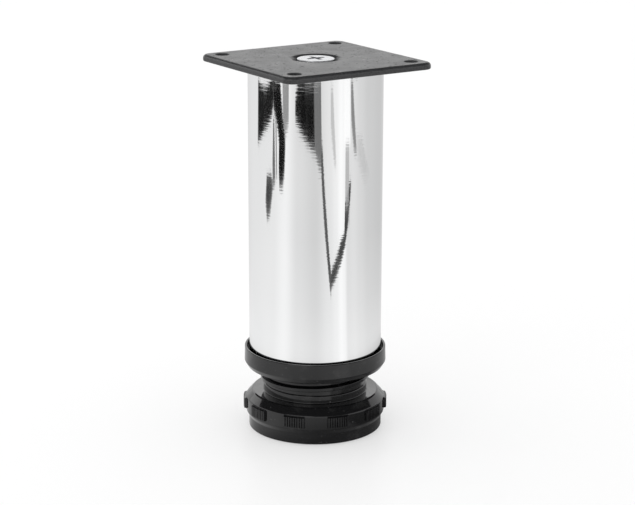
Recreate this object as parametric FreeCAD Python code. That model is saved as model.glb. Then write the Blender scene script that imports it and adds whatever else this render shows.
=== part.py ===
"""Height adjustable table leg: a chromed tube under a square plate, on a foot that screws in and out.

Millimetres, +Z up. The origin is on the floor at the leg's axis, and the plate's sides lie along X and Y.
The foot is drawn part way out of its collar, as it is set in use.
"""
import FreeCAD, Part
import math
import os

# Tube
TUBE_R = 25.0
TUBE_WALL = 1.2
TUBE_LENGTH = 111.6

# Foot: base, knurled ring, cone and plateau
BASE_HEIGHT = 4.1
BASE_EDGE = 0.4
BASE_RIM = 2.0
RING_INSET = 0.5
RING_STEP = 1.1
RING_FLARE = 1.8
RING_HEIGHT = 5.4
RING_EDGE = 0.3
CONE_RUN = 2.5
CONE_HEIGHT = 2.7
FOOT_WALL = 2.4
FOOT_WEB = 2.4
FOOT_RIB = 1.8
FOOT_RIB_COUNT = 10

# Grip pads round the ring, each a patch of upright ridges
GRIP_COUNT = 10
GRIP_TURN = 4.0
GRIP_PROUD = 1.0
GRIP_HEIGHT = 4.4
GRIP_BEVEL = 0.6
RIDGE_COUNT = 9
RIDGE_PITCH_DEG = 1.95
RIDGE_DEPTH = 0.8
RIDGE_CREST_SHARE = 0.36

# Threaded stem of the foot
STEM_LENGTH = 36.0
STEM_WALL = 2.4
STEM_TIP = 0.8
SHOULDER_STEP = 0.5
SHOULDER_HEIGHT = 3.1
THREAD_PITCH = 3.2
THREAD_DEPTH = 1.6
THREAD_CREST_LAND = 1.15
THREAD_ROOT_LAND = 0.25
THREAD_START_ANGLE = 37.0
THREAD_START_HEIGHT = 3.9
THREAD_END_MARGIN = 2.2

# Floor pad: a plain disc that the foot turns on, held by a snap stud
PAD_THICKNESS = 2.0
PAD_PROUD = 0.3
PAD_EDGE = 0.4
STUD_R = 4.8
STUD_BARB = 0.7
STUD_BARB_HEIGHT = 2.2
STUD_SLOT = 1.6

# Collar: flange and lip round the tube's lower end, sleeve inside the tube
FOOT_OUT = 9.9
COLLAR_FLANGE = 3.2
COLLAR_DRAFT = 0.15
COLLAR_BEVEL = 1.2
COLLAR_BEVEL_HEIGHT = 2.0
LIP_HEIGHT = 4.3
LIP_WALL = 0.85
LIP_GAP = 0.9
SLEEVE_LENGTH = 16.0
SLEEVE_WALL = 2.75
SLEEVE_LEAD = 1.0
BORE_STEP = 0.8
BORE_LEAD = 1.2

# Mounting plate with a pressed dish for the screw head
PLATE_SIDE = 62.6
PLATE_THICKNESS = 2.5
PLATE_CORNER_R = 4.0
PLATE_EDGE = 0.5
HOLE_INSET = 6.3
HOLE_R = 2.5
DISH_RUN = 1.2
DISH_ROUND = 1.8
DISH_HEEL = 1.2

# Centre screw and its captive nut
SCREW_R = 4.0
SCREW_LENGTH = 20.0
HEAD_R = 6.9
HEAD_SIDE = 4.47
HEAD_DOME = 0.1
HEAD_EDGE = 0.2
HEAD_SUNK = 0.03
RECESS_SPAN = 8.0
RECESS_WIDTH = 1.7
RECESS_DEPTH = 2.6
NUT_FLATS = 13.0
NUT_HEIGHT = 6.5
NUT_CHAMFER = 0.8

# Plug in the tube's upper end
PLUG_LENGTH = 18.0
PLUG_TOP = 4.0
PLUG_WALL = 2.2
PLUG_BOSS_WALL = 2.8
PLUG_BOSS_LENGTH = 13.0
PLUG_RIB = 2.0
PLUG_RIB_COUNT = 6
PLUG_LEAD = 0.8

# Clearances
PRESS_GAP = 0.05
TURN_GAP = 0.3
THREAD_GAP = 0.2
SCREW_GAP = 0.25
NUT_GAP = 0.15
HEAD_GAP = 0.4

# Working overlap for solids that are joined or cut
BITE = 0.3

# Radii worked out from the sizes above
TUBE_BORE_R = TUBE_R - TUBE_WALL
SLEEVE_R = TUBE_BORE_R - PRESS_GAP
GROOVE_R = SLEEVE_R - SLEEVE_WALL
THREAD_CREST_R = GROOVE_R - THREAD_GAP
THREAD_ROOT_R = THREAD_CREST_R - THREAD_DEPTH
COLLAR_BORE_R = THREAD_ROOT_R + BORE_STEP
LIP_BORE_R = TUBE_R + LIP_GAP
LIP_R = LIP_BORE_R + LIP_WALL
COLLAR_R = LIP_R + COLLAR_DRAFT
SHOULDER_R = THREAD_ROOT_R + SHOULDER_STEP
STEM_BORE_R = THREAD_ROOT_R - STEM_WALL
RING_R = COLLAR_R - RING_INSET
BASE_R = RING_R - RING_STEP
RECESS_R = BASE_R - BASE_RIM
PAD_R = RECESS_R - TURN_GAP
PLATEAU_R = RING_R - CONE_RUN
GRIP_R = RING_R + GRIP_PROUD
DISH_FLOOR_R = HEAD_R + HEAD_GAP
DISH_MOUTH_R = DISH_FLOOR_R + DISH_RUN
NUT_POCKET_FLATS = NUT_FLATS + 2 * NUT_GAP
PLUG_BOSS_R = NUT_POCKET_FLATS / math.sqrt(3) + PLUG_BOSS_WALL
HOLE_SPACING = PLATE_SIDE - 2 * HOLE_INSET

# Thread form worked out from the sizes above
THREAD_FLANK_RUN = (THREAD_PITCH - THREAD_CREST_LAND - THREAD_ROOT_LAND) / 2
THREAD_FLANK_SLOPE = THREAD_FLANK_RUN / THREAD_DEPTH

# Levels worked out from the sizes above
BASE_BOTTOM_Z = PAD_PROUD
WEB_Z = PAD_THICKNESS
WEB_TOP_Z = WEB_Z + FOOT_WEB
BASE_TOP_Z = BASE_BOTTOM_Z + BASE_HEIGHT
RING_BOTTOM_Z = BASE_TOP_Z + RING_FLARE
RING_TOP_Z = RING_BOTTOM_Z + RING_HEIGHT
PLATEAU_Z = RING_TOP_Z + CONE_HEIGHT
SHOULDER_Z = PLATEAU_Z + SHOULDER_HEIGHT
STEM_TOP_Z = PLATEAU_Z + STEM_LENGTH
THREAD_START_Z = PLATEAU_Z + THREAD_START_HEIGHT
COLLAR_BOTTOM_Z = PLATEAU_Z + FOOT_OUT
SEAT_Z = COLLAR_BOTTOM_Z + COLLAR_FLANGE
LIP_TOP_Z = SEAT_Z + LIP_HEIGHT
SLEEVE_TOP_Z = COLLAR_BOTTOM_Z + SLEEVE_LENGTH
PLATE_BOTTOM_Z = SEAT_Z + TUBE_LENGTH
PLATE_TOP_Z = PLATE_BOTTOM_Z + PLATE_THICKNESS
HEAD_CROWN_Z = PLATE_TOP_Z - HEAD_SUNK
DISH_FLOOR_Z = HEAD_CROWN_Z - HEAD_DOME - HEAD_SIDE
PLUG_TOP_Z = DISH_FLOOR_Z - PLATE_THICKNESS
PLUG_BOSS_BOTTOM_Z = PLUG_TOP_Z - PLUG_BOSS_LENGTH
NUT_BOTTOM_Z = PLUG_BOSS_BOTTOM_Z + NUT_GAP
NUT_TOP_Z = NUT_BOTTOM_Z + NUT_HEIGHT

AXIS = FreeCAD.Vector(0, 0, 1)
ORIGIN = FreeCAD.Vector(0, 0, 0)


def revolve(points):
    """Solid turned about the leg's axis from a closed outline of (radius, height) points."""
    corners = [FreeCAD.Vector(r, 0, z) for r, z in points]
    outline = Part.makePolygon(corners + corners[:1])
    return Part.Face(outline).revolve(ORIGIN, AXIS, 360)


def cylinder(radius, bottom, top):
    return Part.makeCylinder(radius, top - bottom, FreeCAD.Vector(0, 0, bottom))


def ring(outer, inner, bottom, top):
    return cylinder(outer, bottom, top).cut(cylinder(inner, bottom - BITE, top + BITE))


def turned(shape, degrees):
    copy = shape.copy()
    copy.rotate(ORIGIN, AXIS, degrees)
    return copy


def radial_ribs(count, thickness, inner, outer, bottom, top):
    """Upright ribs that reach from one radius to another, evenly spaced about the axis."""
    corner = FreeCAD.Vector(inner, -thickness / 2, bottom)
    rib = Part.makeBox(outer - inner, thickness, top - bottom, corner)
    return [turned(rib, 360 * i / count) for i in range(count)]


def hexagon_prism(flats, bottom, top):
    corner_r = flats / math.sqrt(3)
    angles = [math.radians(60 * i) for i in range(7)]
    outline = Part.makePolygon(
        [FreeCAD.Vector(corner_r * math.cos(a), corner_r * math.sin(a), bottom) for a in angles]
    )
    return Part.Face(outline).extrude(FreeCAD.Vector(0, 0, top - bottom))


def thread_sweep(profile, turns, middle_z):
    """Right-hand helical solid: profile holds (radius, offset from the thread's middle) corners."""
    helix = Part.makeLongHelix(THREAD_PITCH, turns * THREAD_PITCH, THREAD_CREST_R)
    corners = [FreeCAD.Vector(r, 0, dz) for r, dz in profile]
    outline = Part.makePolygon(corners + corners[:1])
    solid = Part.Wire(helix).makePipeShell([outline], True, True)
    solid.rotate(ORIGIN, AXIS, THREAD_START_ANGLE)
    solid.translate(FreeCAD.Vector(0, 0, middle_z))
    return solid


def floor_pad():
    """Disc on the floor, with a split stud that snaps through the foot's web."""
    neck_r = STUD_R - TURN_GAP
    barb_r = STUD_R + STUD_BARB
    barb_z = WEB_TOP_Z + TURN_GAP
    pad = revolve([
        (0, 0),
        (PAD_R - PAD_EDGE, 0),
        (PAD_R, PAD_EDGE),
        (PAD_R, PAD_THICKNESS),
        (neck_r, PAD_THICKNESS),
        (neck_r, barb_z),
        (barb_r, barb_z),
        (neck_r - STUD_BARB, barb_z + STUD_BARB_HEIGHT),
        (0, barb_z + STUD_BARB_HEIGHT),
    ])
    slot_corner = FreeCAD.Vector(-barb_r - BITE, -STUD_SLOT / 2, PAD_THICKNESS + TURN_GAP)
    slot = Part.makeBox(2 * (barb_r + BITE), STUD_SLOT, FOOT_WEB + STUD_BARB_HEIGHT + BITE, slot_corner)
    return pad.cut(slot)


def grip_pads():
    """Patches of upright ridges round the ring, bevelled at their ends."""
    core_r = RING_R - FOOT_WALL / 2
    valley_r = GRIP_R - RIDGE_DEPTH
    bottom = RING_TOP_Z - GRIP_HEIGHT
    half_crest = RIDGE_PITCH_DEG * RIDGE_CREST_SHARE / 2
    half_pitch = RIDGE_PITCH_DEG / 2
    rim = []
    for i in range(RIDGE_COUNT):
        middle = (i - (RIDGE_COUNT - 1) / 2) * RIDGE_PITCH_DEG
        rim += [(valley_r, middle - half_pitch), (GRIP_R, middle - half_crest), (GRIP_R, middle + half_crest)]
    half_span = RIDGE_COUNT * half_pitch
    outline = [(core_r, half_span), (core_r, -half_span)] + rim + [(valley_r, half_span)]
    corners = []
    for radius, degrees in outline:
        angle = math.radians(degrees)
        corners.append(FreeCAD.Vector(radius * math.cos(angle), radius * math.sin(angle), bottom))
    patch = Part.Face(Part.makePolygon(corners + corners[:1])).extrude(FreeCAD.Vector(0, 0, GRIP_HEIGHT))
    bevelled = revolve([
        (core_r - BITE, bottom),
        (GRIP_R - GRIP_BEVEL, bottom),
        (GRIP_R, bottom + GRIP_BEVEL),
        (GRIP_R, RING_TOP_Z - GRIP_BEVEL),
        (GRIP_R - GRIP_BEVEL, RING_TOP_Z),
        (core_r - BITE, RING_TOP_Z),
    ])
    patch = patch.common(bevelled)
    return [turned(patch, GRIP_TURN + 360 * i / GRIP_COUNT) for i in range(GRIP_COUNT)]


def stem_thread():
    """Ridge of the stem's thread, from above the shoulder to near the stem's tip."""
    half_crest = THREAD_CREST_LAND / 2
    half_root = half_crest + THREAD_FLANK_RUN
    turns = (STEM_TOP_Z - THREAD_END_MARGIN - THREAD_START_Z) / THREAD_PITCH
    profile = [
        (THREAD_ROOT_R - BITE, -half_root),
        (THREAD_ROOT_R, -half_root),
        (THREAD_CREST_R, -half_crest),
        (THREAD_CREST_R, half_crest),
        (THREAD_ROOT_R, half_root),
        (THREAD_ROOT_R - BITE, half_root),
    ]
    return thread_sweep(profile, turns, THREAD_START_Z)


def adjusting_foot():
    """Moulded foot: base and knurled ring below, hollow threaded stem above."""
    body = revolve([
        (STUD_R, WEB_Z),
        (RECESS_R, WEB_Z),
        (RECESS_R, BASE_BOTTOM_Z),
        (BASE_R - BASE_EDGE, BASE_BOTTOM_Z),
        (BASE_R, BASE_BOTTOM_Z + BASE_EDGE),
        (BASE_R, BASE_TOP_Z),
        (RING_R, RING_BOTTOM_Z),
        (RING_R, RING_TOP_Z - RING_EDGE),
        (RING_R - RING_EDGE, RING_TOP_Z),
        (PLATEAU_R, PLATEAU_Z),
        (SHOULDER_R, PLATEAU_Z),
        (SHOULDER_R, SHOULDER_Z - SHOULDER_STEP),
        (THREAD_ROOT_R, SHOULDER_Z),
        (THREAD_ROOT_R, STEM_TOP_Z - STEM_TIP),
        (THREAD_ROOT_R - STEM_TIP, STEM_TOP_Z),
        (STEM_BORE_R, STEM_TOP_Z),
        (STEM_BORE_R, WEB_TOP_Z),
        (STUD_R, WEB_TOP_Z),
    ])
    hollow_outer = BASE_R - FOOT_WALL
    hollow_top = PLATEAU_Z - FOOT_WALL
    hollow = ring(hollow_outer, THREAD_ROOT_R, WEB_Z - BITE, hollow_top)
    ribs = radial_ribs(
        FOOT_RIB_COUNT, FOOT_RIB, THREAD_ROOT_R - BITE, hollow_outer + BITE, WEB_Z, hollow_top
    )
    pockets = hollow.cut(Part.makeCompound(ribs))
    return body.cut(pockets).multiFuse(grip_pads() + [stem_thread()])


def collar_thread():
    """Helical groove in the collar's bore, in step with the stem's thread."""
    half_crest = THREAD_CREST_LAND / 2 + THREAD_GAP
    inner = COLLAR_BORE_R - THREAD_GAP
    half_mouth = half_crest + (GROOVE_R - inner) * THREAD_FLANK_SLOPE
    turns_below = math.floor((COLLAR_BOTTOM_Z - THREAD_START_Z) / THREAD_PITCH) - 1
    turns = math.ceil(SLEEVE_LENGTH / THREAD_PITCH) + 3
    profile = [(inner, -half_mouth), (GROOVE_R, -half_crest), (GROOVE_R, half_crest), (inner, half_mouth)]
    return thread_sweep(profile, turns, THREAD_START_Z + turns_below * THREAD_PITCH)


def foot_collar():
    """Bush in the tube's lower end, with a lip standing round the tube and a coarse thread inside."""
    lead_r = COLLAR_BORE_R + BORE_LEAD
    body = revolve([
        (lead_r, COLLAR_BOTTOM_Z),
        (COLLAR_R - COLLAR_BEVEL, COLLAR_BOTTOM_Z),
        (COLLAR_R, COLLAR_BOTTOM_Z + COLLAR_BEVEL_HEIGHT),
        (LIP_R, LIP_TOP_Z),
        (LIP_BORE_R, LIP_TOP_Z),
        (LIP_BORE_R, SEAT_Z),
        (SLEEVE_R, SEAT_Z),
        (SLEEVE_R, SLEEVE_TOP_Z - SLEEVE_LEAD),
        (SLEEVE_R - SLEEVE_LEAD, SLEEVE_TOP_Z),
        (lead_r, SLEEVE_TOP_Z),
        (COLLAR_BORE_R, SLEEVE_TOP_Z - BORE_LEAD),
        (COLLAR_BORE_R, COLLAR_BOTTOM_Z + BORE_LEAD),
    ])
    return body.cut(collar_thread())


def leg_tube():
    return ring(TUBE_R, TUBE_BORE_R, SEAT_Z, PLATE_BOTTOM_Z)


def mounting_plate():
    """Square plate with rounded corners, four holes and a pressed dish in the middle."""
    half = PLATE_SIDE / 2
    corner = FreeCAD.Vector(-half, -half, PLATE_BOTTOM_Z)
    plate = Part.makeBox(PLATE_SIDE, PLATE_SIDE, PLATE_THICKNESS, corner)
    upright = [e for e in plate.Edges if abs(e.BoundBox.ZLength - PLATE_THICKNESS) < 1e-6]
    plate = plate.makeFillet(PLATE_CORNER_R, upright)
    faces = [f for f in plate.Faces if abs(f.normalAt(0, 0).z) > 0.99]
    plate = plate.makeFillet(PLATE_EDGE, [e for f in faces for e in f.Edges])
    under_r = DISH_FLOOR_R + PLATE_THICKNESS
    under = revolve([
        (0, PLUG_TOP_Z),
        (under_r - DISH_HEEL, PLUG_TOP_Z),
        (under_r, PLUG_TOP_Z + DISH_HEEL),
        (under_r + DISH_RUN, PLATE_BOTTOM_Z + BITE),
        (0, PLATE_BOTTOM_Z + BITE),
    ])
    hollow = revolve([
        (0, DISH_FLOOR_Z),
        (DISH_FLOOR_R, DISH_FLOOR_Z),
        (DISH_MOUTH_R, PLATE_TOP_Z),
        (DISH_MOUTH_R, PLATE_TOP_Z + BITE),
        (0, PLATE_TOP_Z + BITE),
    ])
    plate = plate.fuse(under).cut(hollow)
    mouth = [
        e for e in plate.Edges
        if abs(e.BoundBox.ZMin - PLATE_TOP_Z) < 1e-3 and abs(e.BoundBox.XLength - 2 * DISH_MOUTH_R) < 1e-3
    ]
    plate = plate.makeFillet(DISH_ROUND, mouth)
    plate = plate.cut(cylinder(SCREW_R + SCREW_GAP, PLUG_TOP_Z - BITE, PLATE_TOP_Z))
    for x in (-HOLE_SPACING / 2, HOLE_SPACING / 2):
        for y in (-HOLE_SPACING / 2, HOLE_SPACING / 2):
            hole = cylinder(HOLE_R, PLATE_BOTTOM_Z - BITE, PLATE_TOP_Z + BITE)
            hole.translate(FreeCAD.Vector(x, y, 0))
            plate = plate.cut(hole)
    return plate


def centre_screw():
    """Pan head screw with a cross recess, seated on the dish's floor."""
    dome_r = (HEAD_R ** 2 + HEAD_DOME ** 2) / (2 * HEAD_DOME)
    dome = Part.makeSphere(dome_r, FreeCAD.Vector(0, 0, HEAD_CROWN_Z - dome_r))
    head = cylinder(HEAD_R, DISH_FLOOR_Z, HEAD_CROWN_Z).common(dome)
    rim_z = HEAD_CROWN_Z - HEAD_DOME
    rim = [e for e in head.Edges if abs(e.BoundBox.ZMin - rim_z) < 1e-3 and e.BoundBox.ZLength < 1e-3]
    head = head.makeFillet(HEAD_EDGE, rim)
    shank = cylinder(SCREW_R, DISH_FLOOR_Z - SCREW_LENGTH, DISH_FLOOR_Z + BITE)
    screw = head.fuse(shank)
    recess_z = HEAD_CROWN_Z - RECESS_DEPTH
    slot_corner = FreeCAD.Vector(-RECESS_SPAN / 2, -RECESS_WIDTH / 2, recess_z)
    slot = Part.makeBox(RECESS_SPAN, RECESS_WIDTH, RECESS_DEPTH + BITE, slot_corner)
    taper_foot = FreeCAD.Vector(0, 0, recess_z)
    taper = Part.makeCone(RECESS_WIDTH / 2, RECESS_SPAN / 2, RECESS_DEPTH + BITE, taper_foot)
    cross = slot.fuse(turned(slot, 90)).common(taper)
    return screw.cut(cross)


def captive_nut():
    """Hexagon nut held in the plug's boss, with its corners rounded off at both ends."""
    corner_r = NUT_FLATS / math.sqrt(3)
    rounded = revolve([
        (0, NUT_BOTTOM_Z),
        (corner_r - NUT_CHAMFER, NUT_BOTTOM_Z),
        (corner_r, NUT_BOTTOM_Z + NUT_CHAMFER / 2),
        (corner_r, NUT_TOP_Z - NUT_CHAMFER / 2),
        (corner_r - NUT_CHAMFER, NUT_TOP_Z),
        (0, NUT_TOP_Z),
    ])
    nut = hexagon_prism(NUT_FLATS, NUT_BOTTOM_Z, NUT_TOP_Z).common(rounded)
    return nut.cut(cylinder(SCREW_R + PRESS_GAP, NUT_BOTTOM_Z - BITE, NUT_TOP_Z + BITE))


def top_plug():
    """Moulded plug pressed into the tube's upper end, with a boss that holds the nut."""
    outer = TUBE_BORE_R - PRESS_GAP
    bottom = PLUG_TOP_Z - PLUG_LENGTH
    underside = PLUG_TOP_Z - PLUG_TOP
    cup = revolve([
        (0, underside),
        (outer - PLUG_WALL, underside),
        (outer - PLUG_WALL, bottom),
        (outer - PLUG_LEAD, bottom),
        (outer, bottom + PLUG_LEAD),
        (outer, PLUG_TOP_Z),
        (0, PLUG_TOP_Z),
    ])
    boss = cylinder(PLUG_BOSS_R, PLUG_BOSS_BOTTOM_Z, underside + BITE)
    ribs = radial_ribs(
        PLUG_RIB_COUNT, PLUG_RIB, PLUG_BOSS_R - BITE, outer - PLUG_WALL + BITE,
        PLUG_BOSS_BOTTOM_Z, underside + BITE,
    )
    plug = cup.multiFuse([boss] + ribs)
    pocket = hexagon_prism(NUT_POCKET_FLATS, PLUG_BOSS_BOTTOM_Z - BITE, NUT_TOP_Z)
    bore = cylinder(SCREW_R + SCREW_GAP, PLUG_BOSS_BOTTOM_Z - BITE, PLUG_TOP_Z + BITE)
    return plug.cut(pocket).cut(bore)


NODES = {
    "floor_pad": floor_pad,
    "adjusting_foot": adjusting_foot,
    "foot_collar": foot_collar,
    "leg_tube": leg_tube,
    "top_plug": top_plug,
    "captive_nut": captive_nut,
    "mounting_plate": mounting_plate,
    "centre_screw": centre_screw,
}

os.makedirs("parts", exist_ok=True)
for name, make in NODES.items():
    shape = make()
    solid = shape.Solids[0]
    solid.exportStep("parts/" + name + ".step")
    box = solid.BoundBox
    print(
        name, "solids", len(shape.Solids), "valid", solid.isValid(), "volume", round(solid.Volume, 1),
        "z", round(box.ZMin, 2), round(box.ZMax, 2), "x", round(box.XMin, 2), round(box.XMax, 2),
    )
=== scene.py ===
"""Looks of the height adjustable table leg: chromed tube, coated plate, glossy black collar and foot."""
import math

import bmesh
import bpy
from mathutils import Matrix, Quaternion, Vector


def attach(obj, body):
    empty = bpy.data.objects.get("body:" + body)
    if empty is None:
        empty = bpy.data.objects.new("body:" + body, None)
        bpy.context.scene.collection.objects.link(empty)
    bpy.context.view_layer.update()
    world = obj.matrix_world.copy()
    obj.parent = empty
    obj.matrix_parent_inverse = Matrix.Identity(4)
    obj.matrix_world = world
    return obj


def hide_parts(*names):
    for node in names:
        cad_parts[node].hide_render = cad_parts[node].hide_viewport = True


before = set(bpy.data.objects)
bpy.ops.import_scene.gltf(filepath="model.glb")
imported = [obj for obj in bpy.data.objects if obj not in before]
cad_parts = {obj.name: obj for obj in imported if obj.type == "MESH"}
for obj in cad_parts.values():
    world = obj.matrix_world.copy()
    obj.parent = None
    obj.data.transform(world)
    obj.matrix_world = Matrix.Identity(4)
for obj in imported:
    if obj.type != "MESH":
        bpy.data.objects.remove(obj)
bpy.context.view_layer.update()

MM = 0.001
FULL_TURN = 2 * math.pi
QUARTER_TURN = math.pi / 2
UP = (0, 0, 1)
CENTRE = (0, 0, 0)
EVEN = (1, 1, 1)
WELD = 1e-6
TURN_STEPS = 192
ROUND_SEGMENTS = 4
SHARP_ANGLE = math.radians(38)
RAMP_MIDDLE = 0.5

# Mounting plate, in millimetres
PLATE_HALF = 31.3
PLATE_CORNER = 4.0
PLATE_TOP = 141.5
PLATE_UNDER = 139.0
PLATE_EDGE = 0.5
PLATE_ROLL_IN = 1.3
PLATE_ROLL_DOWN = 1.3
CORNER_SEGMENTS = 12
EDGE_SEGMENTS = 6

# Holes in the plate: radius and height of each loop of the wall, from the top down
HOLE_PLACE = 25.0
HOLE_WALL = [
    (2.95, PLATE_TOP), (2.7, 141.42), (2.54, 141.24), (2.5, 141.0), (2.5, 139.2), (2.6, PLATE_UNDER),
]
HOLE_SEGMENTS = 40

# Dish pressed into the plate, with the screw's hole in its floor
DISH_REACH = 12.5
DISH_MOUTH = 8.5
DISH_FLOOR = 136.9
DISH_FLOOR_RADIUS = 7.3
DISH_UNDER = 134.4
DISH_UNDER_RADIUS = 9.6
DISH_UNDER_BEND = 11.0
DISH_UNDER_REACH = 13.5
SCREW_HOLE = 4.25
DISH_STEPS = 96

# Tube
TUBE_RADIUS = 25.0
TUBE_BORE = 23.8
TUBE_END = 27.4

# Collar: its underside, its lip round the tube and its sleeve inside the tube
COLLAR_UNDER = 24.2
COLLAR_UNDER_RADIUS = 25.7
COLLAR_WIDEST = 26.9
COLLAR_WIDEST_Z = 26.2
COLLAR_BORE = 21.0
COLLAR_MOUTH = 21.2
COLLAR_MOUTH_TOP = 25.0
LIP_RADIUS = 26.75
LIP_BORE = 25.9
LIP_TOP = 31.7
SLEEVE_RADIUS = 23.75
SLEEVE_TOP = 40.2
SLEEVE_CHAMFER = 1.0

# Foot, from its rim up to the end of its stem
PIN_HOLE = 4.8
RECESS_RADIUS = 23.3
RECESS_TOP = 2.0
RIM_UNDER = 0.3
BASE_RADIUS = 25.3
BASE_TOP = 4.4
RING_RADIUS = 26.4
RING_UNDER = 6.2
RING_TOP = 11.6
PLATEAU_RADIUS = 23.9
PLATEAU_TOP = 14.3
NECK_RADIUS = 19.7
NECK_TOP = 17.1
STEM_CORE = 19.2
STEM_CORE_UNDER = 17.4
STEM_TOP = 50.3
STEM_CHAMFER = 0.8
STEM_BORE = 16.8
HOLLOW_FLOOR = 4.4

# Thread of the stem and of the collar's bore, in millimetres, degrees and turns
THREAD_PITCH = 3.2
THREAD_START_ANGLE = 37.0
THREAD_STEPS_PER_TURN = 96
THREAD_SUNK = 0.3
STEM_THREAD_START = 18.2
STEM_THREAD_TOP = 48.1
STEM_CREST = 20.8
STEM_CREST_HALF = 0.575
STEM_CREST_ROUND = 0.15
STEM_ROOT_HALF = 1.25
TURNS_TO_COLLAR_THREAD = 2.5
COLLAR_THREAD_START = STEM_THREAD_START + TURNS_TO_COLLAR_THREAD * THREAD_PITCH
COLLAR_THREAD_TOP = 39.0
COLLAR_ROOT = 20.9
COLLAR_ROOT_HALF = 0.76
COLLAR_CREST = 20.0
COLLAR_CREST_HALF = 0.25
COLLAR_CREST_ROUND = 0.1

# Grip pads round the foot's ring, in millimetres and degrees
GRIP_COUNT = 10
GRIP_TURN = 4.0
GRIP_BACK = 25.6
GRIP_UNDER = 6.9
GRIP_UNDER_RADIUS = 26.2
GRIP_FACE = 26.65
GRIP_FACE_UNDER = 7.3
GRIP_FACE_TOP = 11.35
GRIP_TOP_RADIUS = 26.3

# Upright ridges on a grip pad, narrower and shorter at their outer face by the given shares
RIDGE_COUNT = 9
RIDGE_PITCH = 1.95
RIDGE_PLACE = 26.75
RIDGE_MIDDLE_Z = 9.25
RIDGE_DEPTH = 1.3
RIDGE_WIDTH = 1.12
RIDGE_HEIGHT = 4.5
RIDGE_WIDTH_SHARE = 0.46
RIDGE_HEIGHT_SHARE = 0.85
RIDGE_ROUND = 0.06
RIDGE_ROUND_SEGMENTS = 2

# Camera, in millimetres and degrees
CAMERA_PLACE = (-377.1, -583.2, 256.4)
CAMERA_AIM = (0.69, -0.45, 67.65)
CAMERA_ROLL = 0.137
CAMERA_LENS = 108.43
CAMERA_TURN = -32.955
SENSOR_WIDTH = 36.0

# White floor of the studio, with its reach in metres
FLOOR_REACH = 4.0
FLOOR_COLOUR = (0.95, 0.95, 0.95, 1)
FLOOR_GLOW_SHARE = 0.5
FLOOR_SHEEN_SHARE = 0.09
FLOOR_SHEEN_ROUGHNESS = 0.35

# Strength of the world as a light and as it is seen
WORLD_LIGHT = 0.8
WORLD_SEEN = 1.0

# Very wide sun, its place measured like the cards' corners and its spread in degrees, and a fill lamp,
# placed in metres
SUN_PLACE = (-250, 350, 1100)
SUN_STRENGTH = 1.0
SUN_SPREAD = 110
FILL_PLACE = (-0.9, -0.5, 0.8)
FILL_AIM = (0, 0, 0.06)
FILL_WIDTH = 0.9
FILL_POWER = 2

# Dim ceiling seen only in mirrors, a painted dark reflection, measured like the cards' corners
CEILING_LEVEL = 0.06
CEILING_HEIGHT = 1500
CEILING_SIDE = 2300
CEILING_FRONT = -2500
CEILING_BACK = 3000

# Painted reflection of the floor, a glowing sheet that the tube mirrors: reach in metres, lift in
# millimetres, and levels by degrees about the leg, from the camera towards its right
TONES_REACH = 2.5
TONES_LIFT = 0.5
PAINTED_FLOOR_TONES = [
    (-180, 0.72),
    (-120, 0.8),
    (-75, 0.82),
    (-52, 0.92),
    (-28, 0.74),
    (0, 0.66),
    (24, 0.8),
    (34, 0.88),
    (43, 1.0),
    (49, 0.94),
    (55, 0.74),
    (66, 0.76),
    (80, 0.7),
    (100, 0.63),
    (140, 0.59),
    (180, 0.72),
]

# Painted light and painted shadow on that sheet close to the leg, brighter in a ring and dark beside the
# foot:
# distance in metres, and share of the new level
NEAR_REACH = 0.32
NEAR_GLOW = [(0.32, 0.0), (0.2, 0.16), (0.14, 0.34), (0.125, 0.3), (0.112, 0.0)]
GLOW_LEVEL = 1.0
FOOT_SHADE = [(0.32, 0.0), (0.05, 0.0), (0.022, 0.85), (0.0, 0.85)]
FOOT_SHADE_PLACE = (16, -10, 0)
SHADE_LEVEL = 0.1

# Glowing cards seen only in mirrors, painted reflections and painted shade, each a stack of thin layers
# that grow towards the floor for a soft edge
CARD_LAYERS = 6
CARD_LIFT = 0.7
NEAR_LIFT = 0.1
SOLID_COVER = 0.6
FAINT_COVER = 0.09

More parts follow.
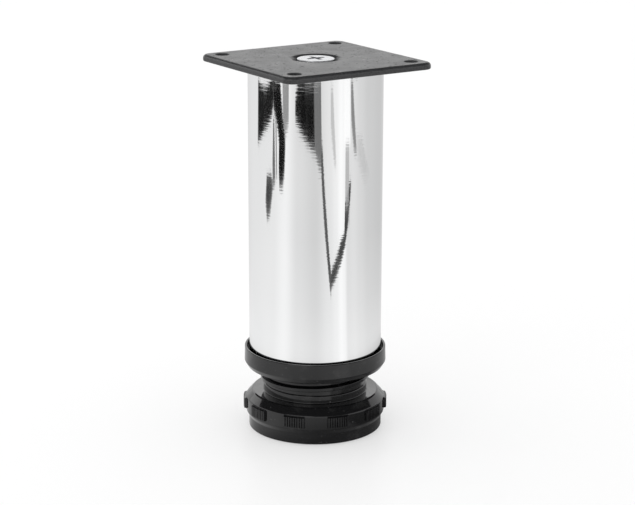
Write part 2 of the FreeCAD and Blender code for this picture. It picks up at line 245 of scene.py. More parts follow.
# Level, cover of a layer, softness of the edge, and corners in millimetres from the leg's axis, to the
# camera's right and away from the camera
PAINTED_REFLECTION_CARDS = {
    "blob": (0.012, SOLID_COVER, 0.1, [
        (-720, 270), (-770, -190), (-670, -190), (-630, -130), (-590, 50), (-510, 200),
    ]),
    "column": (0.006, SOLID_COVER, 0.08, [
        (-760, -210), (-690, -380), (-550, -360), (-440, -350), (-380, -280), (-370, -240),
        (-390, -205), (-440, -220), (-500, -260), (-580, -240), (-630, -190),
    ]),
    "slit": (0.16, SOLID_COVER, 0.2, [
        (-600, -165), (-590, -185), (-430, -150), (-425, -115), (-480, -120),
    ]),
    "slit_edge": (0.3, SOLID_COVER, 0.2, [
        (-590, -215), (-580, -235), (-430, -185), (-435, -170),
    ]),
    "streak": (0.06, SOLID_COVER, 0.4, [
        (-445, -15), (-445, -70), (-420, -100), (-370, -50), (-362, -20), (-395, 0),
    ]),
    "haze": (0.3, SOLID_COVER, 0.2, [
        (-670, -450), (-570, -560), (-455, -440), (-465, -370), (-520, -370),
    ]),
    "block": (0.004, SOLID_COVER, 0.07, [
        (-370, -720), (-40, -800), (-10, -540), (-100, -550), (-220, -550), (-350, -540), (-390, -600),
    ]),
    "strip": (0.17, SOLID_COVER, 0.06, [
        (-40, -800), (120, -800), (90, -490), (60, -490), (-10, -540),
    ]),
    "line": (0.09, SOLID_COVER, 0.12, [
        (75, -540), (110, -530), (115, -325), (110, -230), (93, -210), (94, -270), (86, -385),
    ]),
    "arm": (0.06, SOLID_COVER, 0.08, [
        (107, -226), (206, -225), (240, -210), (300, -250), (380, -226), (383, -210), (294, -198),
        (232, -195), (160, -203), (102, -205),
    ]),
    # painted glare: a white glowing patch that the tube mirrors as a highlight
    "glare": (1.0, SOLID_COVER, 0.12, [
        (630, -570), (725, -440), (490, -290), (420, -380),
    ]),
    "band": (0.5, SOLID_COVER, 0.2, [
        (425, -340), (460, -300), (310, -195), (275, -225),
    ]),
    "wisp": (0.55, SOLID_COVER, 0.12, [
        (320, -680), (360, -660), (286, -424), (264, -432), (267, -562),
    ]),
    "thread": (0.25, SOLID_COVER, 0.12, [
        (677, -380), (700, -335), (508, -165), (498, -210), (560, -300),
    ]),
    "wedge": (0.45, FAINT_COVER, 0.35, [
        (540, -165), (560, -60), (460, 70), (445, -10), (490, -130),
    ]),
    # painted shade: a dark patch that the plate's right-hand wall mirrors
    "shade": (0.12, SOLID_COVER, 0.1, [
        (720, -540), (960, -620), (1000, -200), (780, -250),
    ]),
}
NEAR_SHADE_CARDS = {
    # painted shade on the right of the foot's base, seen only in its reflection
    "base_shade": (0.1, SOLID_COVER, 0.2, [
        (24, -54), (44, -86), (72, -66), (88, -26), (88, 24), (52, 36), (34, 8),
    ]),
}


def material_nodes(name):
    """New material with a Principled shader; returns the material, its tree and the shader."""
    material = bpy.data.materials.new(name)
    material.use_nodes = True
    tree = material.node_tree
    return material, tree, tree.nodes["Principled BSDF"]


def object_noise(tree, scale, detail, stretch=EVEN):
    """Noise on Object coordinates, with its own stretch along X, Y and Z."""
    place = tree.nodes.new("ShaderNodeTexCoord")
    mapping = tree.nodes.new("ShaderNodeMapping")
    mapping.inputs["Scale"].default_value = stretch
    noise = tree.nodes.new("ShaderNodeTexNoise")
    noise.inputs["Scale"].default_value = scale
    noise.inputs["Detail"].default_value = detail
    tree.links.new(place.outputs["Object"], mapping.inputs["Vector"])
    tree.links.new(mapping.outputs["Vector"], noise.inputs["Vector"])
    return noise.outputs["Fac"]


def graded(tree, value, low, high, start=0.3, end=0.7):
    """Value of a noise spread over a range, for roughness."""
    spread = tree.nodes.new("ShaderNodeMapRange")
    spread.inputs["From Min"].default_value = start
    spread.inputs["From Max"].default_value = end
    spread.inputs["To Min"].default_value = low
    spread.inputs["To Max"].default_value = high
    tree.links.new(value, spread.inputs["Value"])
    return spread.outputs["Result"]


def tinted(tree, value, dark, light, start=0.3, end=0.7):
    """Two greys or colours, mixed by a noise."""
    ramp = tree.nodes.new("ShaderNodeValToRGB")
    ramp.color_ramp.elements[0].position = start
    ramp.color_ramp.elements[0].color = (*dark, 1)
    ramp.color_ramp.elements[1].position = end
    ramp.color_ramp.elements[1].color = (*light, 1)
    tree.links.new(value, ramp.inputs["Fac"])
    return ramp.outputs["Color"]


def bumped(tree, value, strength, depth, under=None):
    """Relief from a noise, its depth in millimetres, on top of another relief where there is one."""
    bump = tree.nodes.new("ShaderNodeBump")
    bump.inputs["Strength"].default_value = strength
    bump.inputs["Distance"].default_value = depth * MM
    tree.links.new(value, bump.inputs["Height"])
    if under is not None:
        tree.links.new(under, bump.inputs["Normal"])
    return bump.outputs["Normal"]


def grey_ramp(tree, stops):
    """Ramp of greys, from the position and level of each stop."""
    ramp = tree.nodes.new("ShaderNodeValToRGB")
    while len(ramp.color_ramp.elements) < len(stops):
        ramp.color_ramp.elements.new(RAMP_MIDDLE)
    for stop, (position, level) in zip(ramp.color_ramp.elements, stops):
        stop.position = position
        stop.color = (level, level, level, 1)
    return ramp


def chrome_plating():
    """Polished chrome with the faint upright streaks of a drawn tube and fine rings from polishing."""
    material, tree, shader = material_nodes("tube_chrome")
    streaks = object_noise(tree, scale=420, detail=3, stretch=(1, 1, 0.03))
    rings = object_noise(tree, scale=1300, detail=2, stretch=(0.12, 0.12, 1))
    cloud = object_noise(tree, scale=45, detail=2, stretch=(1, 1, 0.4))
    shader.inputs["Metallic"].default_value = 1
    colour = tinted(tree, cloud, dark=(0.94, 0.945, 0.95), light=(0.975, 0.978, 0.98))
    tree.links.new(colour, shader.inputs["Base Color"])
    tree.links.new(graded(tree, streaks, low=0.025, high=0.06), shader.inputs["Roughness"])
    polish = bumped(tree, rings, strength=0.8, depth=0.006)
    drawn = bumped(tree, streaks, strength=0.15, depth=0.004, under=polish)
    tree.links.new(drawn, shader.inputs["Normal"])
    return material


def powder_coat():
    """Dark satin powder coat: fine grain in its colour, an orange-peel surface and a few dull pits."""
    material, tree, shader = material_nodes("plate_coat")
    grain = object_noise(tree, scale=1500, detail=3)
    patches = object_noise(tree, scale=160, detail=3)
    pits = object_noise(tree, scale=800, detail=1)
    colour = tinted(tree, grain, dark=(0.014, 0.014, 0.015), light=(0.036, 0.036, 0.038))
    tree.links.new(colour, shader.inputs["Base Color"])
    rougher = tree.nodes.new("ShaderNodeMath")
    rougher.operation = "MAXIMUM"
    tree.links.new(graded(tree, patches, low=0.27, high=0.34), rougher.inputs[0])
    tree.links.new(graded(tree, pits, low=0.2, high=0.75, start=0.66, end=0.72), rougher.inputs[1])
    tree.links.new(rougher.outputs[0], shader.inputs["Roughness"])
    tree.links.new(bumped(tree, grain, strength=0.6, depth=0.1), shader.inputs["Normal"])
    return material


def gloss_black():
    """Moulded black plastic: glossy, slightly wavy, with thin smears of dust and a few pale specks."""
    material, tree, shader = material_nodes("black_plastic")
    waves = object_noise(tree, scale=110, detail=2)
    polish = object_noise(tree, scale=480, detail=4)
    specks = object_noise(tree, scale=1500, detail=1)
    smears = object_noise(tree, scale=140, detail=6, stretch=(1, 1, 1.6))
    dust = tinted(
        tree, smears, dark=(0.005, 0.005, 0.0055), light=(0.02, 0.02, 0.02), start=0.58, end=0.74
    )
    speck = tinted(tree, specks, dark=(0, 0, 0), light=(0.16, 0.16, 0.16), start=0.755, end=0.8)
    colour = tree.nodes.new("ShaderNodeMix")
    colour.data_type = "RGBA"
    colour.blend_type = "LIGHTEN"
    colour.inputs["Factor"].default_value = 1
    tree.links.new(dust, colour.inputs["A"])
    tree.links.new(speck, colour.inputs["B"])
    shader.inputs["IOR"].default_value = 1.52
    tree.links.new(colour.outputs["Result"], shader.inputs["Base Color"])
    tree.links.new(graded(tree, polish, low=0.05, high=0.11), shader.inputs["Roughness"])
    fine = bumped(tree, polish, strength=0.1, depth=0.01)
    wavy = bumped(tree, waves, strength=0.2, depth=0.04, under=fine)
    tree.links.new(wavy, shader.inputs["Normal"])
    return material


def matte_plastic(name, dark, light):
    """Plain moulded plastic with a fine eroded texture."""
    material, tree, shader = material_nodes(name)
    texture = object_noise(tree, scale=1800, detail=3)
    tree.links.new(tinted(tree, texture, dark, light), shader.inputs["Base Color"])
    tree.links.new(graded(tree, texture, low=0.5, high=0.65), shader.inputs["Roughness"])
    tree.links.new(bumped(tree, texture, strength=0.3, depth=0.03), shader.inputs["Normal"])
    return material


def plug_plastic():
    """Grey plastic of the plug in the tube."""
    return matte_plastic("plug_plastic", dark=(0.06, 0.06, 0.063), light=(0.1, 0.1, 0.105))


def pad_plastic():
    """Dark grey plastic of the floor pad."""
    return matte_plastic("pad_plastic", dark=(0.02, 0.02, 0.021), light=(0.045, 0.045, 0.047))


def bright_zinc():
    """Zinc plated steel, a little cloudy."""
    material, tree, shader = material_nodes("zinc_steel")
    cloud = object_noise(tree, scale=380, detail=4)
    shader.inputs["Metallic"].default_value = 1
    colour = tinted(tree, cloud, dark=(0.62, 0.63, 0.65), light=(0.8, 0.81, 0.83))
    tree.links.new(colour, shader.inputs["Base Color"])
    tree.links.new(graded(tree, cloud, low=0.14, high=0.26), shader.inputs["Roughness"])
    tree.links.new(bumped(tree, cloud, strength=0.15, depth=0.02), shader.inputs["Normal"])
    return material


def outline(bm, corners):
    """Closed outline in the XZ plane, from each corner's radius, height and rounding in millimetres."""
    made = [bm.verts.new((radius * MM, 0, height * MM)) for radius, height, _ in corners]
    bm.faces.new(made)
    for rounding in sorted({corner[2] for corner in corners} - {0}):
        sharp = [vert for vert, corner in zip(made, corners) if corner[2] == rounding]
        bmesh.ops.bevel(
            bm, geom=sharp, offset=rounding * MM, offset_type="OFFSET", affect="VERTICES",
            segments=ROUND_SEGMENTS, profile=0.5, material=-1,
        )


def turn_outline(bm, steps=TURN_STEPS):
    """Spins the outline in bm a full turn about the leg's axis."""
    bmesh.ops.delete(bm, geom=list(bm.faces), context="FACES_ONLY")
    bmesh.ops.spin(
        bm, geom=list(bm.verts) + list(bm.edges), cent=CENTRE, axis=UP, dvec=CENTRE,
        angle=FULL_TURN, steps=steps, use_merge=True, use_duplicate=False,
    )


def close_up(bm):
    """Welds the mesh and turns its faces outwards."""
    bmesh.ops.remove_doubles(bm, verts=bm.verts, dist=WELD)
    bmesh.ops.recalc_face_normals(bm, faces=bm.faces)


def add_to(bm, part):
    """Copies the mesh of part into bm and frees part."""
    loose = bpy.data.meshes.new("loose")
    part.to_mesh(loose)
    part.free()
    bm.from_mesh(loose)
    bpy.data.meshes.remove(loose)


def piece(bm, name, body, slot, material, *nodes):
    """Makes bm a smooth piece that rides on a body and stands for CAD nodes."""
    mesh = bpy.data.meshes.new(name)
    bm.to_mesh(mesh)
    bm.free()
    mesh.shade_smooth()
    mesh.set_sharp_from_angle(angle=SHARP_ANGLE)
    mesh.materials.append(material)
    made = bpy.data.objects.new(name, mesh)
    bpy.context.scene.collection.objects.link(made)
    even = made.modifiers.new("even_normals", "WEIGHTED_NORMAL")
    even.keep_sharp = True
    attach(made, body)
    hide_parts(*nodes)


def thread_section(root, crest, hidden, root_half, crest_half, rounding):
    """Outline of a thread's ridge about height 0, with its back hidden in the wall that carries it."""
    return [
        (hidden, -root_half, 0),
        (root, -root_half, 0),
        (crest, -crest_half, rounding),
        (crest, crest_half, rounding),
        (root, root_half, 0),
        (hidden, root_half, 0),
    ]


def helical_ridge(corners, start_z, top_z):
    """Closed ridge wound upwards about the axis, right-handed."""
    ridge = bmesh.new()
    outline(ridge, corners)
    turns = (top_z - start_z) / THREAD_PITCH
    steps = round(turns * THREAD_STEPS_PER_TURN)
    bmesh.ops.delete(ridge, geom=list(ridge.faces), context="FACES_ONLY")
    bmesh.ops.spin(
        ridge, geom=list(ridge.verts) + list(ridge.edges), cent=CENTRE, axis=UP,
        dvec=(0, 0, THREAD_PITCH * turns / steps * MM), angle=turns * FULL_TURN, steps=steps,
        use_merge=False, use_duplicate=False,
    )
    bmesh.ops.holes_fill(ridge, edges=[e for e in ridge.edges if e.is_boundary], sides=0)
    turn = Matrix.Rotation(math.radians(THREAD_START_ANGLE), 3, "Z")
    bmesh.ops.rotate(ridge, verts=ridge.verts, cent=CENTRE, matrix=turn)
    bmesh.ops.translate(ridge, verts=ridge.verts, vec=(0, 0, start_z * MM))
    close_up(ridge)
    return ridge


def square_corners(reach, height):
    """Corners of a level square about the axis."""
    signs = [(-1, -1), (1, -1), (1, 1), (-1, 1)]
    return [(x * reach, y * reach, height) for x, y in signs]


def square_loop(bm, inset, height):
    """Loop of the plate's outline with its rounded corners, moved inwards."""
    known = set(bm.edges)
    corners = square_corners((PLATE_HALF - inset) * MM, height * MM)
    face = bm.faces.new([bm.verts.new(corner) for corner in corners])
    bmesh.ops.bevel(
        bm, geom=list(face.verts), offset=(PLATE_CORNER - inset) * MM, offset_type="OFFSET",
        affect="VERTICES", segments=CORNER_SEGMENTS, profile=0.5, material=-1,
    )
    bmesh.ops.delete(bm, geom=list(bm.faces), context="FACES_ONLY")
    return [e for e in bm.edges if e not in known]


def round_loop(bm, x, y, radius, height):
    """Loop of a hole's wall at one height."""
    known = set(bm.edges)
    place = Matrix.Translation((x * MM, y * MM, height * MM))
    bmesh.ops.create_circle(bm, cap_ends=False, segments=HOLE_SEGMENTS, radius=radius * MM, matrix=place)
    return [e for e in bm.edges if e not in known]


def dish_loops(bm):
    """Pressed dish with its screw hole; returns its upper and lower outer loops."""
    dish = bmesh.new()
    outline(dish, [
        (DISH_REACH, PLATE_TOP, 0),
        (DISH_MOUTH, PLATE_TOP, 1.4),
        (DISH_FLOOR_RADIUS, DISH_FLOOR, 0.8),
        (SCREW_HOLE, DISH_FLOOR, 0.2),
        (SCREW_HOLE, DISH_UNDER, 0.2),
        (DISH_UNDER_RADIUS, DISH_UNDER, 1.2),
        (DISH_UNDER_BEND, PLATE_UNDER, 0.8),
        (DISH_UNDER_REACH, PLATE_UNDER, 0),
    ])
    bmesh.ops.delete(dish, geom=list(dish.faces), context="FACES_ONLY")
    outside = [e for e in dish.edges if all(v.co.x > DISH_REACH * MM - WELD for v in e.verts)]
    bmesh.ops.delete(dish, geom=outside, context="EDGES")
    turn_outline(dish, DISH_STEPS)
    known = set(bm.edges)
    add_to(bm, dish)
    open_edges = [e for e in bm.edges if e not in known and e.is_boundary]
    upper = [e for e in open_edges if e.verts[0].co.z > PLATE_TOP * MM - WELD]
    lower = [e for e in open_edges if e.verts[0].co.z < PLATE_UNDER * MM + WELD]
    return upper, lower


def plate_pressing(material):
    """Square plate with rolled edges, four holes with rounded rims and a pressed dish."""
    bm = bmesh.new()
    bends = [QUARTER_TURN * step / EDGE_SEGMENTS for step in range(EDGE_SEGMENTS + 1)]
    loops = []
    for bend in bends:
        inset = PLATE_ROLL_IN * (1 - math.sin(bend))
        loops.append(square_loop(bm, inset, PLATE_TOP - PLATE_ROLL_DOWN * (1 - math.cos(bend))))
    for bend in reversed(bends):
        inset = PLATE_EDGE * (1 - math.sin(bend))
        loops.append(square_loop(bm, inset, PLATE_UNDER + PLATE_EDGE * (1 - math.cos(bend))))
    top_edges = list(loops[0])
    under_edges = list(loops[-1])
    walls = [loops]
    for x in (-HOLE_PLACE, HOLE_PLACE):
        for y in (-HOLE_PLACE, HOLE_PLACE):
            hole = [round_loop(bm, x, y, radius, height) for radius, height in HOLE_WALL]
            top_edges += hole[0]
            under_edges += hole[-1]
            walls.append(hole)
    for wall in walls:
        for upper, lower in zip(wall, wall[1:]):
            bmesh.ops.bridge_loops(bm, edges=upper + lower)
    dish_upper, dish_lower = dish_loops(bm)
    bmesh.ops.triangle_fill(bm, use_beauty=True, use_dissolve=False, edges=top_edges + dish_upper)
    bmesh.ops.triangle_fill(bm, use_beauty=True, use_dissolve=False, edges=under_edges + dish_lower)
    close_up(bm)
    piece(bm, "plate_pressing", "leg", "plate_coat", material, "mounting_plate")


def chrome_tube(material):
    """Round tube, open at both ends."""
    bm = bmesh.new()
    outline(bm, [
        (TUBE_BORE, TUBE_END, 0.2),
        (TUBE_RADIUS, TUBE_END, 0.3),
        (TUBE_RADIUS, PLATE_UNDER, 0.3),
        (TUBE_BORE, PLATE_UNDER, 0.2),
    ])
    turn_outline(bm)
    close_up(bm)
    piece(bm, "chrome_tube", "leg", "tube_chrome", material, "leg_tube")


def collar_bush(material):
    """Collar with its thin lip, its sleeve in the tube and the thread in its bore."""
    bm = bmesh.new()
    outline(bm, [
        (COLLAR_MOUTH, COLLAR_UNDER, 0.2),
        (COLLAR_UNDER_RADIUS, COLLAR_UNDER, 0.35),
        (COLLAR_WIDEST, COLLAR_WIDEST_Z, 0.14),
        (LIP_RADIUS, LIP_TOP, 0.3),
        (LIP_BORE, LIP_TOP, 0.2),
        (LIP_BORE, TUBE_END, 0.3),
        (SLEEVE_RADIUS, TUBE_END, 0.2),
        (SLEEVE_RADIUS, SLEEVE_TOP - SLEEVE_CHAMFER, 0.2),
        (SLEEVE_RADIUS - SLEEVE_CHAMFER, SLEEVE_TOP, 0.2),
        (COLLAR_BORE, SLEEVE_TOP, 0.2),
        (COLLAR_BORE, COLLAR_MOUTH_TOP, 0),
    ])
    turn_outline(bm)
    close_up(bm)
    rib = thread_section(
        COLLAR_ROOT, COLLAR_CREST, COLLAR_ROOT + THREAD_SUNK, COLLAR_ROOT_HALF, COLLAR_CREST_HALF,
        COLLAR_CREST_ROUND,
    )
    add_to(bm, helical_ridge(rib, COLLAR_THREAD_START, COLLAR_THREAD_TOP))
    piece(bm, "collar_bush", "leg", "black_plastic", material, "foot_collar")


def grip_base():
    """Shallow raised base of one grip pad, on the X axis."""
    base = bmesh.new()
    outline(base, [
        (GRIP_BACK, GRIP_UNDER, 0),
        (GRIP_UNDER_RADIUS, GRIP_UNDER, 0.1),
        (GRIP_FACE, GRIP_FACE_UNDER, 0.15),
        (GRIP_FACE, GRIP_FACE_TOP, 0.15),
        (GRIP_TOP_RADIUS, RING_TOP, 0.1),
        (GRIP_BACK, RING_TOP, 0),
    ])
    bmesh.ops.delete(base, geom=list(base.faces), context="FACES_ONLY")
    half_span = math.radians(RIDGE_COUNT * RIDGE_PITCH / 2)
    bmesh.ops.spin(
        base, geom=list(base.verts) + list(base.edges), cent=CENTRE, axis=UP, dvec=CENTRE,
        angle=2 * half_span, steps=RIDGE_COUNT, use_merge=False, use_duplicate=False,
    )
    bmesh.ops.holes_fill(base, edges=[e for e in base.edges if e.is_boundary], sides=0)
    back = Matrix.Rotation(-half_span, 3, "Z")
    bmesh.ops.rotate(base, verts=base.verts, cent=CENTRE, matrix=back)
    return base


def grip_ridges():
    """Row of upright ridges of one grip pad, on the X axis."""
    ridge = bmesh.new()
    bmesh.ops.create_cube(ridge, size=MM)
    bmesh.ops.scale(ridge, verts=ridge.verts, vec=(RIDGE_DEPTH, RIDGE_WIDTH, RIDGE_HEIGHT))
    outer = [v for v in ridge.verts if v.co.x > 0]
    bmesh.ops.scale(ridge, verts=outer, vec=(1, RIDGE_WIDTH_SHARE, RIDGE_HEIGHT_SHARE))
    outer_edges = [e for e in ridge.edges if all(v.co.x > 0 for v in e.verts)]
    bmesh.ops.bevel(
        ridge, geom=outer_edges, offset=RIDGE_ROUND * MM, offset_type="OFFSET", affect="EDGES",
        segments=RIDGE_ROUND_SEGMENTS, profile=0.5, material=-1,
    )
    bmesh.ops.translate(ridge, verts=ridge.verts, vec=(RIDGE_PLACE * MM, 0, RIDGE_MIDDLE_Z * MM))
    span = math.radians(RIDGE_PITCH) * (RIDGE_COUNT - 1)
    first = Matrix.Rotation(-span / 2, 3, "Z")
    bmesh.ops.rotate(ridge, verts=ridge.verts, cent=CENTRE, matrix=first)
    bmesh.ops.spin(
        ridge, geom=list(ridge.faces), cent=CENTRE, axis=UP, dvec=CENTRE, angle=span,
        steps=RIDGE_COUNT - 1, use_duplicate=True,
    )
    return ridge


def grip_pads():
    """Grip pads all round the foot's ring."""
    pads = grip_base()
    add_to(pads, grip_ridges())
    start = Matrix.Rotation(math.radians(GRIP_TURN), 3, "Z")
    bmesh.ops.rotate(pads, verts=pads.verts, cent=CENTRE, matrix=start)
    bmesh.ops.spin(
        pads, geom=list(pads.faces), cent=CENTRE, axis=UP, dvec=CENTRE,
        angle=FULL_TURN * (GRIP_COUNT - 1) / GRIP_COUNT, steps=GRIP_COUNT - 1, use_duplicate=True,
    )
    bmesh.ops.recalc_face_normals(pads, faces=pads.faces)
    return pads


def threaded_foot(material):
    """Foot: base, ring with grip pads, cone, plateau and the hollow threaded stem."""
    bm = bmesh.new()
    outline(bm, [
        (PIN_HOLE, RECESS_TOP, 0.2),
        (RECESS_RADIUS, RECESS_TOP, 0.3),
        (RECESS_RADIUS, RIM_UNDER, 0.15),
        (BASE_RADIUS, RIM_UNDER, 0.25),
        (BASE_RADIUS, BASE_TOP, 0.25),
        (RING_RADIUS, RING_UNDER, 0.3),
        (RING_RADIUS, RING_TOP, 0.35),
        (PLATEAU_RADIUS, PLATEAU_TOP, 0.5),
        (NECK_RADIUS, PLATEAU_TOP, 0.35),
        (NECK_RADIUS, NECK_TOP, 0.25),
        (STEM_CORE, STEM_CORE_UNDER, 0),
        (STEM_CORE, STEM_TOP - STEM_CHAMFER, 0.25),
        (STEM_CORE - STEM_CHAMFER, STEM_TOP, 0.25),
        (STEM_BORE, STEM_TOP, 0.3),
        (STEM_BORE, HOLLOW_FLOOR, 0.6),
        (PIN_HOLE, HOLLOW_FLOOR, 0.2),
    ])
    turn_outline(bm)
    close_up(bm)
    ridge = thread_section(
        STEM_CORE, STEM_CREST, STEM_CORE - THREAD_SUNK, STEM_ROOT_HALF, STEM_CREST_HALF, STEM_CREST_ROUND
    )
    add_to(bm, helical_ridge(ridge, STEM_THREAD_START, STEM_THREAD_TOP))
    add_to(bm, grip_pads())
    piece(bm, "threaded_foot", "foot", "black_plastic", material, "adjusting_foot")


def dress(node, material):
    """Gives a CAD node its finish."""
    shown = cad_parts[node]
    shown.data.materials.clear()
    shown.data.materials.append(material)


def stage_sheet(name, corners, material, side=1):
    """Flat sheet of the studio, from its corners in metres; its front is up, or down for side -1."""
    bm = bmesh.new()
    face = bm.faces.new([bm.verts.new(corner) for corner in corners])
    face.normal_update()
    if face.normal.z * side < 0:
        face.normal_flip()
    mesh = bpy.data.meshes.new(name)
    bm.to_mesh(mesh)
    bm.free()
    mesh.materials.append(material)
    made = bpy.data.objects.new(name, mesh)
    bpy.context.scene.collection.objects.link(made)
    return made


def seen_rays(tree):
    """1 for rays that a camera, a mirror or glass sends."""
    path = tree.nodes.new("ShaderNodeLightPath")
    mirror = tree.nodes.new("ShaderNodeMath")
    mirror.operation = "MAXIMUM"
    glass = tree.nodes.new("ShaderNodeMath")
    glass.operation = "MAXIMUM"
    tree.links.new(path.outputs["Is Camera Ray"], mirror.inputs[0])
    tree.links.new(path.outputs["Is Glossy Ray"], mirror.inputs[1])
    tree.links.new(mirror.outputs[0], glass.inputs[0])
    tree.links.new(path.outputs["Is Transmission Ray"], glass.inputs[1])
    return glass.outputs[0]


def pale_floor():
    """White floor that still takes the leg's shadow."""
    material = bpy.data.materials.new("pale_floor")
    material.use_nodes = True
    tree = material.node_tree
    tree.nodes.clear()
    matte = tree.nodes.new("ShaderNodeBsdfDiffuse")
    matte.inputs["Color"].default_value = FLOOR_COLOUR
    glow = tree.nodes.new("ShaderNodeEmission")
    glow.inputs["Strength"].default_value = 1
    share = tree.nodes.new("ShaderNodeMath")
    share.operation = "MULTIPLY"
    share.inputs[1].default_value = FLOOR_GLOW_SHARE
    paper = tree.nodes.new("ShaderNodeMixShader")
    sheen = tree.nodes.new("ShaderNodeBsdfGlossy")
    sheen.inputs["Roughness"].default_value = FLOOR_SHEEN_ROUGHNESS
    top = tree.nodes.new("ShaderNodeMixShader")
    top.inputs["Fac"].default_value = FLOOR_SHEEN_SHARE
    out = tree.nodes.new("ShaderNodeOutputMaterial")
    tree.links.new(seen_rays(tree), share.inputs[0])
    tree.links.new(share.outputs[0], paper.inputs["Fac"])
    tree.links.new(matte.outputs[0], paper.inputs[1])
    tree.links.new(glow.outputs[0], paper.inputs[2])
    tree.links.new(paper.outputs[0], top.inputs[1])
    tree.links.new(sheen.outputs[0], top.inputs[2])
    tree.links.new(top.outputs[0], out.inputs["Surface"])
    stage_sheet("floor", square_corners(FLOOR_REACH, 0), material)


def mirror_card(name, corners, material, side=1):
    """Sheet whose front shows in mirrors only."""
    card = stage_sheet(name, corners, material, side)
    card.visible_camera = False
    card.visible_diffuse = False
    card.visible_shadow = False
    card.visible_transmission = False


def card_shade(name, level, cover=1.0):
    """Grey glow of a card, for the painted reflections, clear from behind, that hides the given share of
    what lies beyond it.
    """
    material = bpy.data.materials.new(name)
    material.use_nodes = True
    tree = material.node_tree
    tree.nodes.clear()
    glow = tree.nodes.new("ShaderNodeEmission")
    glow.inputs["Color"].default_value = (level, level, level, 1)
    side = tree.nodes.new("ShaderNodeNewGeometry")
    gap = tree.nodes.new("ShaderNodeMapRange")
    gap.inputs["To Min"].default_value = 1 - cover
    clear = tree.nodes.new("ShaderNodeBsdfTransparent")
    mix = tree.nodes.new("ShaderNodeMixShader")
    out = tree.nodes.new("ShaderNodeOutputMaterial")
    tree.links.new(side.outputs["Backfacing"], gap.inputs["Value"])
    tree.links.new(gap.outputs["Result"], mix.inputs["Fac"])
    tree.links.new(glow.outputs[0], mix.inputs[1])
    tree.links.new(clear.outputs[0], mix.inputs[2])
    tree.links.new(mix.outputs[0], out.inputs["Surface"])
    return material, tree, glow


def from_camera_side(right, away, height):
    """Point in metres, from millimetres to the camera's right, away from the camera and up."""
    turn = Matrix.Rotation(math.radians(CAMERA_TURN), 3, "Z")
    return turn @ Vector((right * MM, away * MM, height * MM))


def near_leg(tree, place, colour, stops, level, middle=CENTRE):
    """Painted tone of the mirrored floor, changed towards a level by distance from a middle near the
    leg's axis.
    """
    size = tree.nodes.new("ShaderNodeMapping")
    size.inputs["Location"].default_value = from_camera_side(*middle) / -NEAR_REACH
    size.inputs["Scale"].default_value = (1 / NEAR_REACH, 1 / NEAR_REACH, 0)
    ball = tree.nodes.new("ShaderNodeTexGradient")
    ball.gradient_type = "SPHERICAL"
    ramp = grey_ramp(tree, [(1 - distance / NEAR_REACH, share) for distance, share in stops])
    mix = tree.nodes.new("ShaderNodeMix")
    mix.data_type = "RGBA"
    mix.inputs["B"].default_value = (level, level, level, 1)
    tree.links.new(place.outputs["Object"], size.inputs["Vector"])
    tree.links.new(size.outputs["Vector"], ball.inputs["Vector"])
    tree.links.new(ball.outputs["Fac"], ramp.inputs["Fac"])
    tree.links.new(ramp.outputs["Color"], mix.inputs["Factor"])
    tree.links.new(colour, mix.inputs["A"])
    return mix.outputs["Result"]


def painted_floor_reflection():
    """Painted reflection of the floor: a glowing sheet seen only in mirrors, with soft bands of grey that
    fan out from the leg, a painted bright ring and a painted shadow beside the foot.
    """
    material, tree, glow = card_shade("painted_floor_reflection", 1.0)
    place = tree.nodes.new("ShaderNodeTexCoord")
    turn = tree.nodes.new("ShaderNodeMapping")
    turn.inputs["Rotation"].default_value = (0, 0, math.radians(90 - CAMERA_TURN))
    fan = tree.nodes.new("ShaderNodeTexGradient")
    fan.gradient_type = "RADIAL"
    ramp = grey_ramp(tree, [(RAMP_MIDDLE + angle / 360, level) for angle, level in PAINTED_FLOOR_TONES])
    ramp.color_ramp.interpolation = "EASE"
    tree.links.new(place.outputs["Object"], turn.inputs["Vector"])
    tree.links.new(turn.outputs["Vector"], fan.inputs["Vector"])
    tree.links.new(fan.outputs["Fac"], ramp.inputs["Fac"])
    brighter = near_leg(tree, place, ramp.outputs["Color"], NEAR_GLOW, GLOW_LEVEL)
    shaded = near_leg(tree, place, brighter, FOOT_SHADE, SHADE_LEVEL, FOOT_SHADE_PLACE)
    tree.links.new(shaded, glow.inputs["Color"])
    mirror_card("painted_floor_reflection", square_corners(TONES_REACH, TONES_LIFT * MM), material)


def painted_reflection_cards(cards, lift):
    """Soft-edged glowing cards over the floor, seen only in mirrors as painted reflections: each is a
    stack of thin layers, the smallest at the top.
    """
    for name, (level, cover, feather, corners) in cards.items():
        material, _, _ = card_shade(f"card_{name}", level, cover)
        middle_right = sum(right for right, _ in corners) / len(corners)
        middle_away = sum(away for _, away in corners) / len(corners)
        for layer in range(CARD_LAYERS):
            size = 1 + feather * (2 * layer / (CARD_LAYERS - 1) - 1)
            spread = [
                from_camera_side(
                    middle_right + (right - middle_right) * size,
                    middle_away + (away - middle_away) * size,
                    lift * (CARD_LAYERS - layer),
                )
                for right, away in corners
            ]
            mirror_card(f"card_{name}_{layer}", spread, material)


def painted_ceiling_reflection():
    """Painted dark reflection: a dim glowing sheet over the leg, seen only in mirrors, in place of an
    unlit ceiling in the black plastic.
    """
    material, _, _ = card_shade("ceiling", CEILING_LEVEL)
    places = [
        (-CEILING_SIDE, CEILING_FRONT),
        (CEILING_SIDE, CEILING_FRONT),
        (CEILING_SIDE, CEILING_BACK),
        (-CEILING_SIDE, CEILING_BACK),
    ]
    corners = [from_camera_side(right, away, CEILING_HEIGHT) for right, away in places]
    mirror_card("ceiling", corners, material, -1)


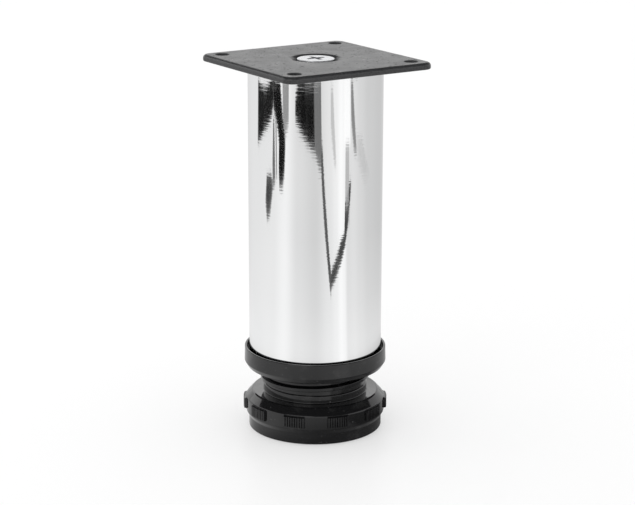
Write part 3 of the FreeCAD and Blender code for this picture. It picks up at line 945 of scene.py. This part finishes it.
def white_surround():
    """World: white where it is seen or mirrored, softer where it lights the leg."""
    world = bpy.data.worlds.new("studio")
    bpy.context.scene.world = world
    world.use_nodes = True
    tree = world.node_tree
    shade = tree.nodes["Background"]
    level = tree.nodes.new("ShaderNodeMapRange")
    level.inputs["To Min"].default_value = WORLD_LIGHT
    level.inputs["To Max"].default_value = WORLD_SEEN
    tree.links.new(seen_rays(tree), level.inputs["Value"])
    shade.inputs["Color"].default_value = (1, 1, 1, 1)
    tree.links.new(level.outputs["Result"], shade.inputs["Strength"])


def fill_lamp():
    """Square soft lamp that faces the leg."""
    data = bpy.data.lights.new("fill", "AREA")
    data.size = FILL_WIDTH
    data.energy = FILL_POWER
    lamp = bpy.data.objects.new("fill", data)
    bpy.context.scene.collection.objects.link(lamp)
    lamp.location = FILL_PLACE
    aim = Vector(FILL_AIM) - Vector(FILL_PLACE)
    lamp.rotation_mode = "QUATERNION"
    lamp.rotation_quaternion = aim.to_track_quat("-Z", "Y")


def soft_sun():
    """Very wide sun, for an even light with a soft shadow."""
    data = bpy.data.lights.new("sun", "SUN")
    data.energy = SUN_STRENGTH
    data.angle = math.radians(SUN_SPREAD)
    lamp = bpy.data.objects.new("sun", data)
    bpy.context.scene.collection.objects.link(lamp)
    lamp.rotation_mode = "QUATERNION"
    lamp.rotation_quaternion = (-from_camera_side(*SUN_PLACE)).to_track_quat("-Z", "Y")


def photo_camera():
    """Camera at the photo's place and angle."""
    data = bpy.data.cameras.new("camera")
    data.lens = CAMERA_LENS
    data.sensor_width = SENSOR_WIDTH
    camera = bpy.data.objects.new("camera", data)
    bpy.context.scene.collection.objects.link(camera)
    place = Vector(CAMERA_PLACE) * MM
    aim = Vector(CAMERA_AIM) * MM - place
    roll = Quaternion(UP, math.radians(CAMERA_ROLL))
    camera.location = place
    camera.rotation_mode = "QUATERNION"
    camera.rotation_quaternion = aim.to_track_quat("-Z", "Y") @ roll
    bpy.context.scene.camera = camera


chrome = chrome_plating()
coat = powder_coat()
black = gloss_black()
zinc = bright_zinc()

chrome_tube(chrome)
collar_bush(black)
threaded_foot(black)
plate_pressing(coat)
dress("centre_screw", zinc)
dress("captive_nut", zinc)
dress("top_plug", plug_plastic())
dress("floor_pad", pad_plastic())

pale_floor()
white_surround()
painted_floor_reflection()
painted_reflection_cards(PAINTED_REFLECTION_CARDS, CARD_LIFT)
painted_reflection_cards(NEAR_SHADE_CARDS, NEAR_LIFT)
painted_ceiling_reflection()
soft_sun()
fill_lamp()
photo_camera()
bpy.context.scene.view_settings.view_transform = "Standard"
